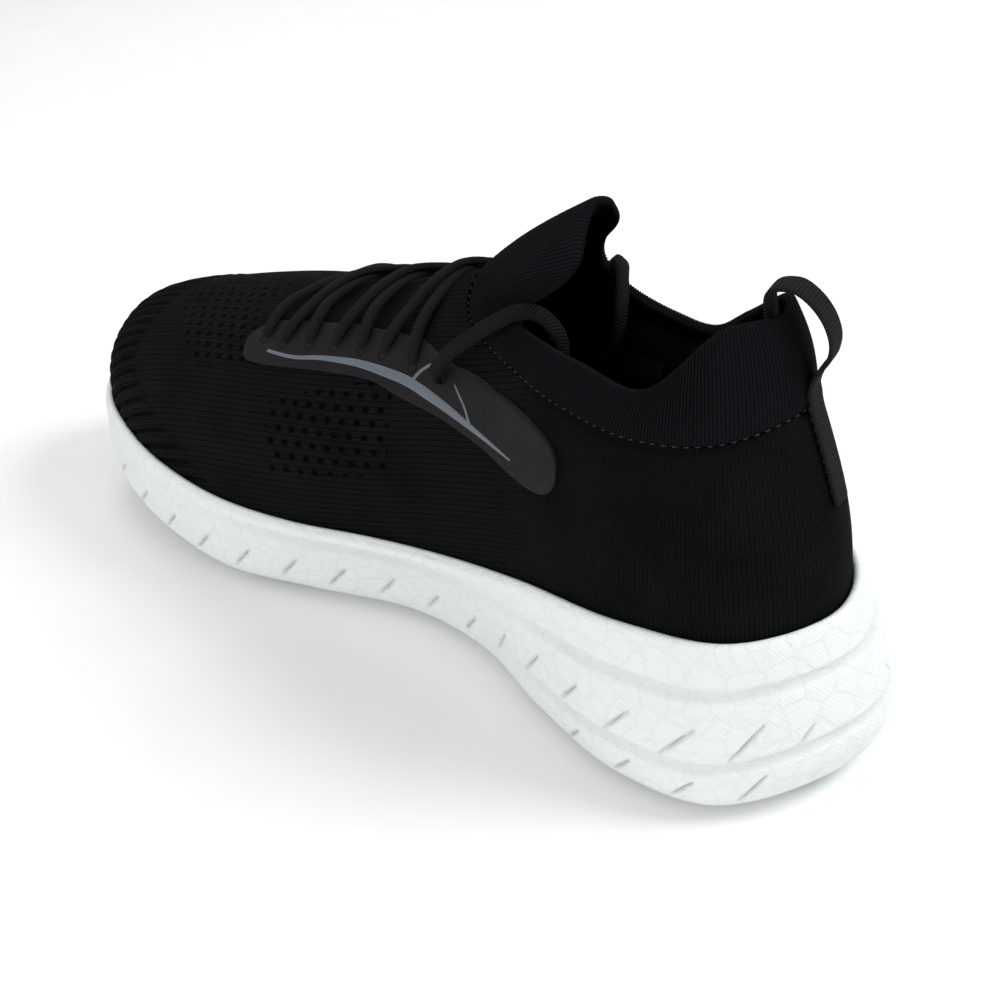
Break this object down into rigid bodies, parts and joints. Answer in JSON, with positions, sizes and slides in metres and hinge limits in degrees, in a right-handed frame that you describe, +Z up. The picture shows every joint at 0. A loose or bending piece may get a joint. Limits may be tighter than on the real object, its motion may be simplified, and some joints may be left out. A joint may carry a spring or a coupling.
{
  "type": "running shoe",
  "caption": "Low knitted running shoe for the right foot with a thick foam sole, flat lace, ribbed sock collar and heel pull loop.",
  "frame": {"origin": "on the floor, under the middle of the shoe's bounding box", "axes": "+X from heel to toe, +Y towards the inner (medial) side of the foot, +Z up"},
  "size_m": [0.2994, 0.1008, 0.1345],
  "materials": {
    "foam": "matt moulded foam with a fine texture",
    "black_rubber": "matt",
    "clear_rubber": "frosted, slightly see-through",
    "stiff_plastic": "moulded",
    "board": "needled fibre sheet",
    "lining": "soft mesh",
    "knit": "fine flat knit with holes and ribs",
    "rib_knit": "ribbed stretch knit",
    "padding": "open foam",
    "film": "welded film, faintly textured",
    "stripe": "reflective print",
    "lace": "flat woven braid",
    "webbing": "ribbed tape",
    "aglet": "smooth",
    "label": "plain patch, no text"
  },
  "bodies": {
    "root": {"midsole": "foam", "outsole_toe": "black_rubber", "outsole_forefoot_medial": "black_rubber", "outsole_forefoot_lateral": "black_rubber", "outsole_heel_medial": "black_rubber", "outsole_heel_lateral": "black_rubber", "heel_lug": "clear_rubber", "midfoot_shank": "stiff_plastic", "strobel_board": "board", "sockliner": "lining", "knit_upper": "knit", "collar_cuff": "rib_knit", "toe_puff": "stiff_plastic", "heel_counter": "stiff_plastic", "heel_lining": "lining", "collar_foam_medial": "padding", "collar_foam_lateral": "padding", "eyelet_film_medial": "film", "eyelet_film_lateral": "film", "reflective_stripe_medial": "stripe", "reflective_stripe_lateral": "stripe", "lace": "lace", "lace_tail_medial": "lace", "lace_tail_lateral": "lace", "aglet_medial": "aglet", "aglet_lateral": "aglet", "pull_loop": "webbing", "size_label": "label"}
  },
  "joints": []
}
